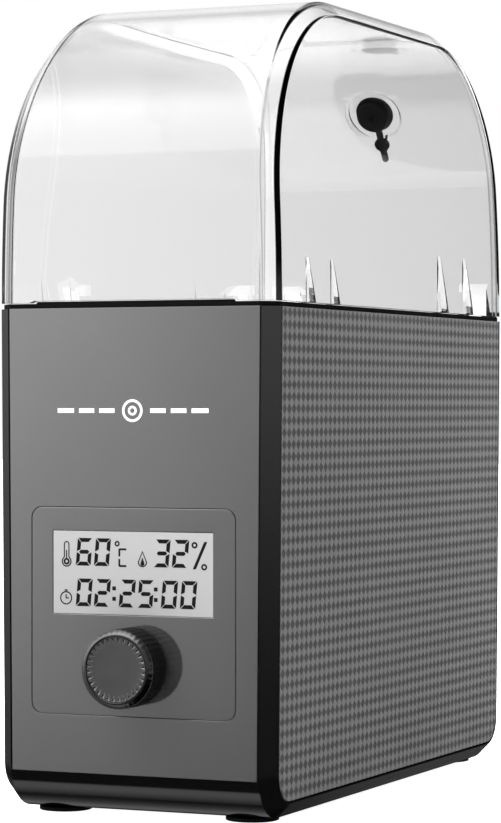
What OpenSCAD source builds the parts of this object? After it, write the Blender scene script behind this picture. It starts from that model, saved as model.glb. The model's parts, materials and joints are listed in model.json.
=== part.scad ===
// Filament dryer box: a chamfered base with a heated spool chamber, under a clear hinged lid.
// Right is +X, the rear is +Y and up is +Z. The origin is on the table, below the middle of the outer box.

/* [Body] */
// Width across the side panels at the rim
body_w = 110; // [106:1:120]
// Depth from the front face to the rear face
body_d = 240; // [236:1:256]
// Height from the table to the top of the lid
total_h = 295; // [291:1:305]
// Height of the base's rim
rim_z = 181; // [177:1:187]
// Width of the flat chamfer round each side
chamfer = 5.3; // [4.5:0.1:6]
// Radius of the base's lower front and rear corners
corner_r = 16.5; // [13:0.5:19]
// Inward lean of the side panels, in degrees
side_draft = 0.43; // [0:0.01:0.5]

/* [Lid] */
// Wall thickness of the clear lid
lid_t = 3; // [2.5:0.1:3.2]
// Radius of the lid's front arch
front_r = 76.5; // [70:0.5:82]
// Radius of the lid's rear arch
rear_r = 61; // [58:0.5:66]
// Radius of the gentle bulge of the lid's side walls
side_r = 900; // [850:10:2000]
// Direction of the filament port on the rear arch, in degrees above level
port_a = 35; // [33:1:38]
// Radius of the filament hole
port_hole_r = 1.5; // [1.1:0.1:2]

/* [Controls] */
// Width of the control bezel
bezel_w = 80; // [78:1:84]
// Height of the control bezel
bezel_h = 74; // [72:1:76]
// Width of the display window
lcd_w = 62.8; // [58:0.1:63]
// Height of the display window
lcd_h = 29.7; // [26:0.1:30]
// Radius of the knob
knob_r = 14; // [12:0.5:15]
// Distance that the knob stands out of the front face
knob_proud = 13.4; // [12:0.1:15]
// Travel of the knob when it is pressed
knob_press = 0.8; // [0.5:0.1:0.8]

/* [Spool drive] */
// Radius of the spool rollers
roller_r = 8; // [7.5:0.5:9]
// Distance between the two roller axles
roller_gap = 90; // [80:2:96]

/* [Hidden] */
$fn = 64;
eps = 0.01;

half_w = body_w / 2;
half_d = body_d / 2;
foot_h = 1.5;
foot_r = 9.5;
seam = 2;
lid_z = rim_z + seam;
finger_x = 41;

// Walls and panels
wall = 3.6;
cavity_x = half_w - 4.6;
front_panel_t = 1.6;
side_panel_t = 1.4;
panel_gap = 0.25;
// Lip beside the chamfers, and the grooves between it and the panels
edge_lip = 0.3;
front_gap = 0.4;
side_gap = 0.75;
floor_t = 4;
cover_t = 2;

// Hinge
knuckle_r = 3.2;
hinge_y = half_d + 3.5;
hinge_z = rim_z + 1;
hinge_x = 42;
hinge_pin_r = 1.25;
lid_knuckle_w = 7;
base_knuckle_w = 3.7;
knuckle_gap = 0.3;
knuckle_proud = hinge_y + knuckle_r - half_d;

// Control area on the front face
bezel_z = 73.5;
bezel_r = 4.3;
lcd_z = 87.2;
knob_z = 54.3;
board_y = -half_d + 12;
board_t = 1.6;
shaft_r = 3;
shaft_clear = 0.05;
cap_r = knob_r - 2.6;
cap_seat = 1.2;

// Lid arches, as circles in the side view
front_cy = -half_d + front_r;
front_cz = total_h - front_r;
rear_cy = half_d - rear_r;
rear_cz = total_h - rear_r;

// Filament port
port_pad_r = 11.2;
port_pad_depth = 1;
port_boss_depth = 3.6;
grommet_neck_r = 4.9;
grommet_disc_r = 7.95;
strap_w = 2.7;
strap_t = 1.2;
strap_z = -0.8;
plug_y = 15.2;

// Place and size of each guide rib inside a side wall of the lid
guide_ribs = [[-87, 0.72], [-64, 0.72], [48, 1], [77, 1]];

// Spool chamber and what it stands on
liner_t = 1.4;
liner_x = cavity_x - 0.6;
liner_y = half_d - wall - 0.6;
tub_y = 84;
tub_z = 72;
tub_top_z = 110;
step_z = 126;
roller_z = tub_z + 14;
roller_y = roller_gap / 2;
axle_r = 2.5;
bush_r = 6;
roller_l = 87;
bracket_t = 4;

// Screws
screw_r = 1.25;
pilot_r = 1.3;
screw_head_r = 2.6;
board_screws_at = [for (x = [-35.5, 35.5], z = [44, 107]) [x, z]];
cover_screws_at = [for (x = [-41, 41], y = [-60, 60]) [x, y]];
feet_at = [for (x = [-37, 37], y = [-99, 99]) [x, y]];

// Power inlet on the rear face
jack_x = -30;
jack_z = 32;
jack_depth = 16;
heater_lead_x = 20;
socket_z = 52;
wire_r = 1.3;

// Shift that puts the origin below the middle of the outer box
body_cy = (knob_proud - knuckle_proud) / 2;

// ---- Shared helpers ----

module in_place() { translate([0, body_cy, 0]) children(); }

// Extrudes a side-view outline, drawn as (y, z), along +X
module along_x(t) { rotate([90, 0, 90]) linear_extrude(t) children(); }

// Extrudes a front-view outline, drawn as (x, z), towards the rear from y
module along_y(y, t) { translate([0, y + t, 0]) rotate([90, 0, 0]) linear_extrude(t) children(); }

module rod_x(x, y, z, r, l) { translate([x, y, z]) rotate([0, 90, 0]) cylinder(r = r, h = l); }
module rod_y(x, y, z, r, l) { translate([x, y, z]) rotate([-90, 0, 0]) cylinder(r = r, h = l); }
module box(x, y, z) { translate([x[0], y[0], z[0]]) cube([x[1] - x[0], y[1] - y[0], z[1] - z[0]]); }

function arc(cy, cz, r, from, to, steps) =
    [for (i = [0 : steps]) let (a = from + (to - from) * i / steps) [cy + r * cos(a), cz + r * sin(a)]];

module round_rect(w, h, r) {
    square([w - 2 * r, h], center = true);
    square([w, h - 2 * r], center = true);
    for (x = [-1, 1], z = [-1, 1]) translate([x * (w / 2 - r), z * (h / 2 - r)]) circle(r);
}

// Convex solid round a list of points
module solid_round(points) { hull() polyhedron(points, [[for (i = [0 : len(points) - 1]) i]]); }

function unit(v) = v / norm(v);

// Wire in the plane at x, through side-view points given as (y, z), with mitred corners
module wire(x, path) {
    sides = 10;
    last = len(path) - 1;
    runs = [for (i = [0 : last - 1]) unit(path[i + 1] - path[i])];
    tangents = [for (i = [0 : last]) unit(runs[max(i - 1, 0)] + runs[min(i, last - 1)])];
    rings = [for (i = [0 : last], j = [0 : sides - 1])
        let (a = 360 * j / sides, reach = wire_r * sin(a) / (tangents[i] * runs[min(i, last - 1)]))
        [x + wire_r * cos(a), path[i][0] - reach * tangents[i][1], path[i][1] + reach * tangents[i][0]]];
    walls = [for (i = [0 : last - 1], j = [0 : sides - 1]) let (k = (j + 1) % sides)
        [i * sides + j, i * sides + k, (i + 1) * sides + k, (i + 1) * sides + j]];
    ends = [[for (j = [0 : sides - 1]) sides - 1 - j], [for (j = [0 : sides - 1]) last * sides + j]];
    polyhedron(rings, concat(walls, ends));
}

// ---- Base ----

// Side view of the base below the rim, as (y, height above the rim)
function base_outline(inset, top = 0) =
    concat([[-half_d + inset, top]],
           arc(-half_d + corner_r, foot_h - rim_z + corner_r, corner_r - inset, 180, 270, 8),
           arc(half_d - corner_r, foot_h - rim_z + corner_r, corner_r - inset, 270, 360, 8),
           [[half_d - inset, top]]);

// Frame of a side panel: x = 0 on its outer face and z = 0 at the rim
module side_frame(side) {
    translate([side * half_w, 0, rim_z]) rotate([0, side * side_draft, 0]) children();
}

module side_plate(side, depth, t, inset, top = 0) {
    side_frame(side)
        translate([side > 0 ? -depth - t : depth, 0, 0])
            along_x(t) polygon(base_outline(inset, top));
}

module base_outer() {
    hull() for (side = [-1, 1]) {
        side_plate(side, chamfer, eps, 0);
        side_plate(side, 0, eps, chamfer);
    }
}

// Front view of the front panel: it narrows downwards with the lean of the sides
module front_panel_shape(gap) {
    low_z = 16;
    top_x = half_w - chamfer - gap;
    low_x = top_x - (rim_z - low_z) * tan(side_draft);
    polygon([[-low_x, low_z], [low_x, low_z], [top_x, rim_z + 1], [-top_x, rim_z + 1]]);
}

module base_knuckles() {
    web = [[half_d - 2, rim_z - 14], [half_d, rim_z - 14], [hinge_y + 2.4, hinge_z - 2.1],
           [hinge_y, hinge_z], [half_d, hinge_z - 1], [half_d - 2, rim_z - 1]];
    offset_x = lid_knuckle_w / 2 + knuckle_gap;
    for (side = [-1, 1], x = [-offset_x - base_knuckle_w, offset_x]) translate([side * hinge_x + x, 0, 0]) {
        along_x(base_knuckle_w) polygon(web);
        rod_x(0, hinge_y, hinge_z, knuckle_r, base_knuckle_w);
    }
}

module base_bosses() {
    for (p = board_screws_at) rod_y(p[0], -half_d + 2.5, p[1], 3, board_y - (-half_d + 2.5));
    for (p = cover_screws_at) translate([p[0], p[1], foot_h + cover_t]) cylinder(r = 3.4, h = 9);
}

module base_shell() color("#26262a") in_place() {
    difference() {
        union() {
            difference() {
                base_outer();
                translate([-cavity_x, 0, rim_z]) along_x(2 * cavity_x) polygon(base_outline(wall, 1));
                // The sides lean in, so their inner edges end a little high
                box([-half_w, half_w], [-half_d, half_d], [rim_z, rim_z + 1]);
                // Seat of the chamber liner's flange
                box([1.6 - half_w + side_panel_t, half_w - 1.6 - side_panel_t], [2.8 - half_d, half_d - 2.8],
                    [rim_z - 2, rim_z + 1]);
            }
            base_bosses();
            base_knuckles();
        }
        // Bottom opening, with a seat for the cover
        box([-42, 42], [-84, 84], [0, foot_h + floor_t]);
        box([-46, 46], [-88, 88], [0, foot_h + cover_t]);
        along_y(-half_d - 1, front_panel_t + 1) front_panel_shape(edge_lip);
        for (side = [-1, 1]) side_plate(side, -1, side_panel_t + 1, chamfer + edge_lip, 1);
        along_y(-half_d - 1, wall + 2) translate([0, lcd_z]) square([lcd_w + 1, lcd_h + 1], center = true);
        rod_y(0, -half_d - 1, knob_z, 10, wall + 2);
        rod_y(jack_x, half_d - wall - 1, jack_z, 5.6, wall + 2);
        for (p = board_screws_at) rod_y(p[0], board_y - 7, p[1], pilot_r, 8);
        for (p = cover_screws_at) translate([p[0], p[1], 0]) cylinder(r = pilot_r, h = foot_h + cover_t + 8);
        for (side = [-1, 1]) rod_x(side * hinge_x - 12, hinge_y, hinge_z, hinge_pin_r + 0.02, 24);
    }
}

module front_panel() color("#6f7072") in_place() difference() {
    along_y(-half_d, front_panel_t) difference() {
        front_panel_shape(edge_lip + front_gap);
        translate([0, bezel_z]) round_rect(bezel_w, bezel_h, bezel_r);
    }
    // Level with the rim
    box([-half_w, half_w], [-half_d - 1, -half_d + wall], [rim_z, rim_z + 2]);
}

module side_panel(side) { side_plate(side, 0, side_panel_t, chamfer + edge_lip + side_gap, -0.1); }
module side_panel_left() color("#5c5d60") in_place() side_panel(-1);
module side_panel_right() color("#5c5d60") in_place() side_panel(1);

module control_bezel() color("#6a6b6d") in_place() along_y(-half_d, front_panel_t) difference() {
    translate([0, bezel_z])
        round_rect(bezel_w - 2 * panel_gap, bezel_h - 2 * panel_gap, bezel_r - panel_gap);
    translate([0, lcd_z]) square([lcd_w, lcd_h], center = true);
    translate([0, knob_z]) circle(4);
}

// Plan of the rim: a rectangle with the side chamfers across its corners
module rim_shape(inset) {
    x = half_w - inset;
    y = half_d - inset;
    cut = chamfer - inset * 0.5;
    polygon([[x, cut - y], [x, y - cut], [x - cut, y], [cut - x, y],
             [-x, y - cut], [-x, cut - y], [cut - x, -y], [x - cut, -y]]);
}

module rim_gasket() color("#121212") in_place() {
    translate([0, 0, rim_z]) linear_extrude(seam - 0.3) difference() {
        rim_shape(0.8);
        rim_shape(5.5);
    }
    // Raised bar in the lid's finger notch
    bar_x = finger_x - 2.6;
    box([-bar_x, bar_x], [0.8 - half_d, 3.4 - half_d], [rim_z, lid_z + 0.4]);
}

module bottom_cover() color("#202022") in_place() difference() {
    box([-45.7, 45.7], [-87.7, 87.7], [foot_h, foot_h + cover_t - 0.1]);
    for (p = cover_screws_at)
        translate([p[0], p[1], 0]) cylinder(r = screw_r + 0.25, h = foot_h + cover_t + 1);
}

module cover_screws() color("#4a4a4d") in_place() for (p = cover_screws_at) translate([p[0], p[1], 0]) {
    difference() {
        translate([0, 0, foot_h - 1.2]) cylinder(r = screw_head_r, h = 1.2);
        for (a = [0, 90]) translate([0, 0, foot_h - 1.2]) rotate(a) cube([3, 0.7, 1], center = true);
    }
    translate([0, 0, foot_h - 0.1]) cylinder(r = screw_r, h = 9);
}

module feet() color("#0f0f0f") in_place()
    for (p = feet_at) translate([p[0], p[1], 0]) cylinder(r = foot_r, h = foot_h);

// ---- Controls ----

module lcd_window() color("#c9cbca") in_place()
    along_y(-half_d + 0.1, 1.3) translate([0, lcd_z]) square([lcd_w - 0.3, lcd_h - 0.3], center = true);

module lcd_module() color("#d7dad8") in_place() difference() {
    along_y(-half_d + 1.6, board_y + half_d - 1.6)
        translate([0, lcd_z]) square([lcd_w - 0.8, lcd_h - 0.8], center = true);
    // Recess behind the glass
    along_y(board_y - 3, 4) translate([0, lcd_z]) square([lcd_w - 8, lcd_h - 8], center = true);
}

module control_board() color("#1f5a35") in_place() difference() {
    union() {
        box([-39, 39], [board_y, board_y + board_t], [40, 111]);
        // Lead sockets, the controller chip and the speaker of the end-of-drying beep
        for (x = [jack_x, heater_lead_x])
            box([x - 6, x + 6], [board_y + board_t - eps, board_y + 8], [socket_z - 4, socket_z + 4]);
        box([2, 12], [board_y + board_t - eps, board_y + 8], [92, 100]);
        box([-8, 8], [board_y + board_t - eps, board_y + 3.2], [70, 86]);
        rod_y(-24, board_y + board_t - eps, 92, 5.5, 4);
    }
    for (p = board_screws_at) rod_y(p[0], board_y - 1, p[1], screw_r + 0.25, board_t + 2);
}

module board_screws() color("#9a9a9c") in_place() for (p = board_screws_at) {
    rod_y(p[0], board_y - 6.5, p[1], screw_r, 6.6 + board_t);
    difference() {
        rod_y(p[0], board_y + board_t, p[1], screw_head_r, 1.4);
        for (a = [0, 90]) translate([p[0], board_y + board_t + 1.4, p[1]]) rotate([0, a, 0])
            cube([3, 1, 0.7], center = true);
    }
}

module encoder_body() color("#3a3d40") in_place() difference() {
    union() {
        along_y(board_y - 7.4, 7.4) translate([0, knob_z]) square(13, center = true);
        rod_y(0, -half_d + 1, knob_z, 3.7, board_y + half_d - 2);
    }
    rod_y(0, -half_d, knob_z, shaft_r + shaft_clear, 9);
    rod_y(0, board_y - 5.6, knob_z, 4.6, 4.6);
}

module encoder_slider() color("#c8b878") in_place() rod_y(0, board_y - 4.4, knob_z, 4.2, 1.4);

module encoder_shaft() color("#b9babd") in_place()
    rod_y(0, -half_d - 11, knob_z, shaft_r, board_y - 4.5 + half_d + 11);

module knob_profile() {
    teeth = 40;
    polygon([for (i = [0 : 2 * teeth - 1]) let (a = 180 * i / teeth, r = knob_r - 0.5 * (i % 2))
        [r * cos(a), r * sin(a)]]);
}

module knob() color("#2b2b2e") in_place() difference() {
    front_y = -half_d - knob_proud;
    bevel = 1.2;
    union() {
        along_y(front_y + bevel, knob_proud - bevel - 0.9) translate([0, knob_z]) knob_profile();
        translate([0, front_y, knob_z]) rotate([-90, 0, 0])
            cylinder(r1 = knob_r - 1.9, r2 = knob_r - 0.4, h = bevel + eps);
    }
    rod_y(0, front_y - 1, knob_z, cap_r + 0.2, 1 + cap_seat);
    rod_y(0, -half_d - 11.2, knob_z, shaft_r + 0.03, 12);
}

// Dished cap with a raised rim
module knob_cap() color("#35353a") in_place()
    translate([0, -half_d - knob_proud + cap_seat, knob_z]) rotate([90, 0, 0]) rotate_extrude()
        polygon([[0, 0], [cap_r, 0], [cap_r, 1], [cap_r - 0.5, 1.1],
                 [cap_r - 2.6, 0.75], [4, 0.6], [0, 0.55]]);

// ---- Spool chamber ----

// Side view of the liner: full depth at the rim and a narrower tub below
function liner_outline(inset, top) =
    [[inset - liner_y, top], [inset - liner_y, step_z + inset / 2], [inset - tub_y, tub_top_z + inset / 2],
     [inset - tub_y, tub_z + inset], [tub_y - inset, tub_z + inset], [tub_y - inset, tub_top_z + inset / 2],
     [liner_y - inset, step_z + inset / 2], [liner_y - inset, top]];

module chamber_liner() color("#3d3e40") in_place() difference() {
    union() {
        translate([-liner_x, 0, 0]) along_x(2 * liner_x) polygon(liner_outline(0, rim_z));
        box([1.9 - half_w + side_panel_t, half_w - 1.9 - side_panel_t], [3.1 - half_d, half_d - 3.1],
            [rim_z - 1.9, rim_z]);
    }
    translate([liner_t - liner_x, 0, 0]) along_x(2 * (liner_x - liner_t))
        polygon(liner_outline(liner_t, rim_z + 1));
    // Warm air slots over the heater, and the sensor's slots
    for (x = [-24 : 12 : 24], y = [-20, 20])
        box([x - 1.5, x + 1.5], [y - 14, y + 14], [tub_z - 1, tub_z + liner_t + 1]);
    for (z = [92, 96, 100]) box([2, 12], [-tub_y - 1, -tub_y + liner_t + 1], [z - 1, z + 1]);
}

module bracket(side) {
    inner_x = liner_x - liner_t - bracket_t;
    difference() {
        translate([side > 0 ? inner_x - 0.1 : -inner_x - bracket_t + 0.1, 0, 0]) along_x(bracket_t)
            polygon([[-roller_y - 9, tub_z + liner_t], [roller_y + 9, tub_z + liner_t],
                     [roller_y + 6, roller_z + 6], [roller_y - 8, roller_z + 6],
                     [roller_y - 16, tub_z + 7], [16 - roller_y, tub_z + 7],
                     [8 - roller_y, roller_z + 6], [-roller_y - 6, roller_z + 6]]);
        for (y = [-roller_y, roller_y]) rod_x(side * inner_x - 8, y, roller_z, axle_r + 0.02, 16);
    }
}

module bracket_left() color("#1d1d1f") in_place() bracket(-1);
module bracket_right() color("#1d1d1f") in_place() bracket(1);

module axle(y) { rod_x(0.3 - liner_x + liner_t, y, roller_z, axle_r, 2 * (liner_x - liner_t - 0.3)); }
module front_axle() color("#c2c3c6") in_place() axle(-roller_y);
module rear_axle() color("#c2c3c6") in_place() axle(roller_y);

module roller(y) difference() {
    rod_x(-roller_l / 2, y, roller_z, roller_r, roller_l);
    rod_x(-roller_l / 2 - 1, y, roller_z, bush_r + 0.03, roller_l + 2);
}
module front_roller() color("#8f9194") in_place() roller(-roller_y);
module rear_roller() color("#8f9194") in_place() roller(roller_y);

module bushes(y) {
    length = 8;
    for (x = [-roller_l / 2, roller_l / 2 - length]) difference() {
        rod_x(x, y, roller_z, bush_r, length);
        rod_x(x - 1, y, roller_z, axle_r + 0.05, length + 2);
    }
}
module front_bushes() color("#e6e4dc") in_place() bushes(-roller_y);
module rear_bushes() color("#e6e4dc") in_place() bushes(roller_y);

// ---- Heater and wiring ----

module heater_plate() color("#b4b7ba") in_place() difference() {
    box([-38, 38], [-62, 62], [tub_z - 3, tub_z]);
    for (x = [-24 : 12 : 24], y = [-20, 20])
        box([x - 1.5, x + 1.5], [y - 14, y + 14], [tub_z - 4, tub_z + 1]);
}

module heater_film() color("#a8541f") in_place() for (y = [-49, 49])
    box([-30, 30], [y - 11, y + 11], [tub_z - 4, tub_z - 3]);

module thermal_fuse() color("#d9d2c0") in_place() {
    box([-8, 8], [-52, -46], [tub_z - 6.5, tub_z - 4]);
    rod_x(-6, -49, tub_z - 7.5, 2.2, 12);
}

module heater_leads() color("#e8e8e8") in_place() for (x = [heater_lead_x - 2, heater_lead_x + 2])
    wire(x, [[-58, tub_z - 4], [-58, tub_z - 12], [-88, socket_z], [board_y + 8, socket_z]]);

module humidity_sensor() color("#1f5a35") in_place() {
    box([-1, 15], [-tub_y - 3.2, -tub_y - 2], [88, 104]);
    box([4, 10], [-tub_y - 2.1, -tub_y - 1], [93, 99]);
    for (x = [0.5, 13.5], z = [89.5, 102.5]) rod_y(x, -tub_y - 2.1, z, 1.2, 2.1);
}

module sensor_lead() color("#d8d8d8") in_place()
    rod_y(7, board_y + 8, 96, wire_r, -tub_y - 3.2 - board_y - 8);

module dc_jack() color("#18181a") in_place() difference() {
    union() {
        rod_y(jack_x, half_d, jack_z, 7, 1.6);
        rod_y(jack_x, half_d - jack_depth, jack_z, 5.4, jack_depth + 0.1);
    }
    difference() {
        rod_y(jack_x, half_d - 10, jack_z, 2.85, 12);
        rod_y(jack_x, half_d - 11, jack_z, 1.05, 10);
    }
}

module dc_jack_nut() color("#9a9a9c") in_place() difference() {
    translate([jack_x, half_d - wall - 0.1, jack_z]) rotate([90, 0, 0]) cylinder(r = 7.8, h = 2.5, $fn = 6);
    rod_y(jack_x, half_d - jack_depth, jack_z, 5.45, jack_depth);
}

module power_leads() color("#b02020") in_place() for (x = [jack_x - 2, jack_x + 2])
    wire(x, [[half_d - jack_depth, jack_z], [half_d - jack_depth - 10, jack_z], [78, 12],
             [-80, 12], [-92, socket_z], [board_y + 8, socket_z]]);

// ---- Lid ----

// Side view of the lid above a low edge, as (y, z)
function lid_outline(inset, low) =
    concat([[-half_d + inset, low]],
           arc(front_cy, front_cz, front_r - inset, 180, 90, 12),
           arc(rear_cy, rear_cz, rear_r - inset, 90, 0, 12),
           [[half_d - inset, low]]);

function lid_half_w(z) = half_w - pow(max(z - lid_z, 0), 2) / (2 * side_r);

function lid_points(depth, inset, low) =
    [for (side = [-1, 1], p = lid_outline(inset, low)) [side * (lid_half_w(p[1]) - depth), p[0], p[1]]];

// Frame of the filament port: z points out of the arch and y points down it
module port_frame() {
    translate([0, rear_cy + rear_r * cos(port_a), rear_cz + rear_r * sin(port_a)])
        rotate([port_a - 90, 0, 0]) children();
}

// Leaning rib on the inside of a side wall that thins out upwards
module guide_rib(side, y, size) {
    reach = [2 * size, 0.4];
    length = [8.4 * size, 3.4 * size];
    lean = 4 * size;
    rib_h = 22 * size;
    root = half_w - lid_t + 0.6;
    points = [for (top = [0, 1], c = [[0, 0], [1, 0], [1, 1], [0, 1]])
        [c[0] == 1 ? root : half_w - lid_t - reach[top], y - top * lean + c[1] * length[top],
         lid_z + top * rib_h]];
    mirror([side > 0 ? 0 : 1, 0, 0])
        polyhedron(points, [[0, 1, 2, 3], [4, 7, 6, 5], [0, 4, 5, 1],
                            [1, 5, 6, 2], [2, 6, 7, 3], [3, 7, 4, 0]]);
}

module lid_knuckles() {
    web = [[half_d - 1.5, lid_z + 1], [half_d - 1.5, lid_z + 12], [half_d, lid_z + 12],
           [hinge_y + 2.6, hinge_z + 1.9], [hinge_y, hinge_z], [half_d + 0.5, lid_z]];
    for (side = [-1, 1]) translate([side * hinge_x - lid_knuckle_w / 2, 0, 0]) {
        along_x(lid_knuckle_w) polygon(web);
        rod_x(0, hinge_y, hinge_z, knuckle_r, lid_knuckle_w);
    }
}

module lid_shell() color("#e4e8ea", 0.35) in_place() {
    inner_chamfer = chamfer - 2;
    difference() {
        union() {
            difference() {
                solid_round(concat(lid_points(chamfer, 0, lid_z), lid_points(0, chamfer, lid_z)));
                solid_round(concat(lid_points(lid_t + inner_chamfer, lid_t, lid_z - 1),
                                   lid_points(lid_t, lid_t + inner_chamfer, lid_z - 1)));
            }
            port_frame() translate([0, 0, -port_boss_depth])
                cylinder(r = port_pad_r + 1, h = port_boss_depth - 1.6);
            lid_knuckles();
            for (side = [-1, 1], rib = guide_ribs) guide_rib(side, rib[0], rib[1]);
        }
        port_frame() translate([0, 0, -port_pad_depth]) cylinder(r = port_pad_r, h = 5);
        port_frame() translate([0, 0, -8]) cylinder(r = grommet_neck_r + 0.1, h = 10);
        for (side = [-1, 1]) rod_x(side * hinge_x - 12, hinge_y, hinge_z, hinge_pin_r + 0.05, 24);
        // Shallow finger notch along the front edge
        along_y(-half_d - 1, lid_t + 2)
            polygon([[-finger_x, lid_z - 1], [finger_x, lid_z - 1],
                     [finger_x - 2, lid_z + 0.7], [2 - finger_x, lid_z + 0.7]]);
    }
}

module hinge_pins() color("#b9babd") in_place() {
    length = lid_knuckle_w + 2 * (knuckle_gap + base_knuckle_w) + 0.4;
    for (side = [-1, 1]) rod_x(side * hinge_x - length / 2, hinge_y, hinge_z, hinge_pin_r, length);
}

module port_grommet() color("#161616") in_place() port_frame() difference() {
    union() {
        translate([0, 0, -port_pad_depth]) cylinder(r = grommet_disc_r, h = 1.5);
        translate([0, 0, -port_boss_depth]) cylinder(r = grommet_neck_r, h = port_boss_depth);
        translate([0, 0, -port_boss_depth - 1.6]) cylinder(r = 6.6, h = 1.6);
    }
    translate([0, 0, -10]) cylinder(r = port_hole_r, h = 20);
}

module port_stopper() color("#161616") in_place() port_frame() {
    tail_y = 22.2;
    root_y = grommet_disc_r + 0.3;
    translate([-strap_w / 2, root_y, strap_z]) cube([strap_w, tail_y - root_y, strap_t]);
    translate([0, tail_y, strap_z]) cylinder(r = strap_w / 2, h = strap_t);
    translate([0, plug_y, strap_z]) cylinder(r = 3.2, h = strap_t + 0.2);
    translate([0, plug_y, strap_z + strap_t]) cylinder(r1 = 1.4, r2 = 0.4, h = 6.4);
}

// ---- Nodes ----

base_shell();
front_panel();
side_panel_left();
side_panel_right();
control_bezel();
rim_gasket();
bottom_cover();
cover_screws();
feet();
lcd_window();
lcd_module();
control_board();
board_screws();
encoder_body();
encoder_slider();
encoder_shaft();
knob();
knob_cap();
chamber_liner();
heater_plate();
heater_film();
heater_leads();
thermal_fuse();
humidity_sensor();
sensor_lead();
dc_jack();
dc_jack_nut();
power_leads();
bracket_left();
bracket_right();
front_axle();
rear_axle();
front_roller();
rear_roller();
front_bushes();
rear_bushes();
hinge_pins();
lid_shell();
port_grommet();
port_stopper();
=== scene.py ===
import json
import math

import bpy
import bmesh
from mathutils import Matrix, Vector

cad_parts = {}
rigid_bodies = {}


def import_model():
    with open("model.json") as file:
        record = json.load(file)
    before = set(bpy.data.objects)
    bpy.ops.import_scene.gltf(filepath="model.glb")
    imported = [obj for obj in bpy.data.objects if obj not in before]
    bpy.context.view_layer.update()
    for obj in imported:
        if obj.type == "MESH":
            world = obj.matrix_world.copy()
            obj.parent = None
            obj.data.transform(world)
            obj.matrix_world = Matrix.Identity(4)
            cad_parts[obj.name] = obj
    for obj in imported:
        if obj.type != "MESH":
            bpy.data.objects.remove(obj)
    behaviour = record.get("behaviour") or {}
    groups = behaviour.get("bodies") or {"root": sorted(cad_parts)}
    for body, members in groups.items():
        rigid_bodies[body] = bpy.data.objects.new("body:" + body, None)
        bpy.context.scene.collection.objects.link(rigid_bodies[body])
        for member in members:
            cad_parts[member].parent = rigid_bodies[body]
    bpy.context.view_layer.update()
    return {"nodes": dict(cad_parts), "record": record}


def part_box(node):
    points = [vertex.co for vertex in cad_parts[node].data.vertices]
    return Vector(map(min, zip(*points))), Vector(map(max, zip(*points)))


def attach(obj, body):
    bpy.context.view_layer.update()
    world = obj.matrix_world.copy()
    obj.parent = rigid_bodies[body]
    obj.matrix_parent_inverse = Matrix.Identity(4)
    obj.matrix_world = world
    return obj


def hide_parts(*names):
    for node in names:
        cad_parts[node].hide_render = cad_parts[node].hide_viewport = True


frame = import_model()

# ---- Driving dimensions, in metres ----

mm = 0.001
FRONT_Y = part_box("front_panel")[0].y
DEPTH = 240 * mm
REAR_Y = FRONT_Y + DEPTH
MID_Y = FRONT_Y + DEPTH / 2
HALF_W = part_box("side_panel_right")[1].x
RIM_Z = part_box("front_panel")[1].z
LID_Z = RIM_Z + 2 * mm
TOP_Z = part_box("lid_shell")[1].z
CHAMFER = 5.3 * mm
SIDE_DRAFT = math.radians(0.43)
LID_WALL = 3 * mm
FRONT_R = 76.5 * mm
REAR_R = 61 * mm
LID_EDGE_R = 0.9 * mm
LID_NOTCH = 0.7 * mm
BULGE_R = 900 * mm
GUIDE_RIBS = ((-87, 0.72), (-64, 0.72), (48, 1), (77, 1))
LEFT_RIB_DEPTH = 0.12
PORT_ANGLE = math.radians(35)
PORT_RECESS_R = 11.2 * mm
PORT_BOSS_R = 12.2 * mm
PORT_HOLE_R = 5 * mm
HINGE_Y = (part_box("hinge_pins")[0].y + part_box("hinge_pins")[1].y) / 2
HINGE_Z = (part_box("hinge_pins")[0].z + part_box("hinge_pins")[1].z) / 2
HINGE_X = 42 * mm
HINGE_BORE_R = 1.3 * mm
KNUCKLE_R = 3.2 * mm
KNUCKLE_W = 7 * mm
PANEL_CORNER_R = 16.5 * mm
PANEL_LOW_Z = 1.5 * mm
PANEL_INSET = CHAMFER + 1.05 * mm
PANEL_BACK = 1.4 * mm
KNOB_Z = (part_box("knob")[0].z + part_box("knob")[1].z) / 2
KNOB_FRONT_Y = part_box("knob")[0].y
KNOB_KNURLS = 40
LCD_Z = (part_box("lcd_window")[0].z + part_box("lcd_window")[1].z) / 2
CAP_TEETH = 32
CAP_TEETH_R = 11.1 * mm
CAP_TEETH_L = 2.1 * mm
CAP_TEETH_FILL = 0.8
WEAVE = 4.2 * mm


# ---- Materials ----

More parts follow.
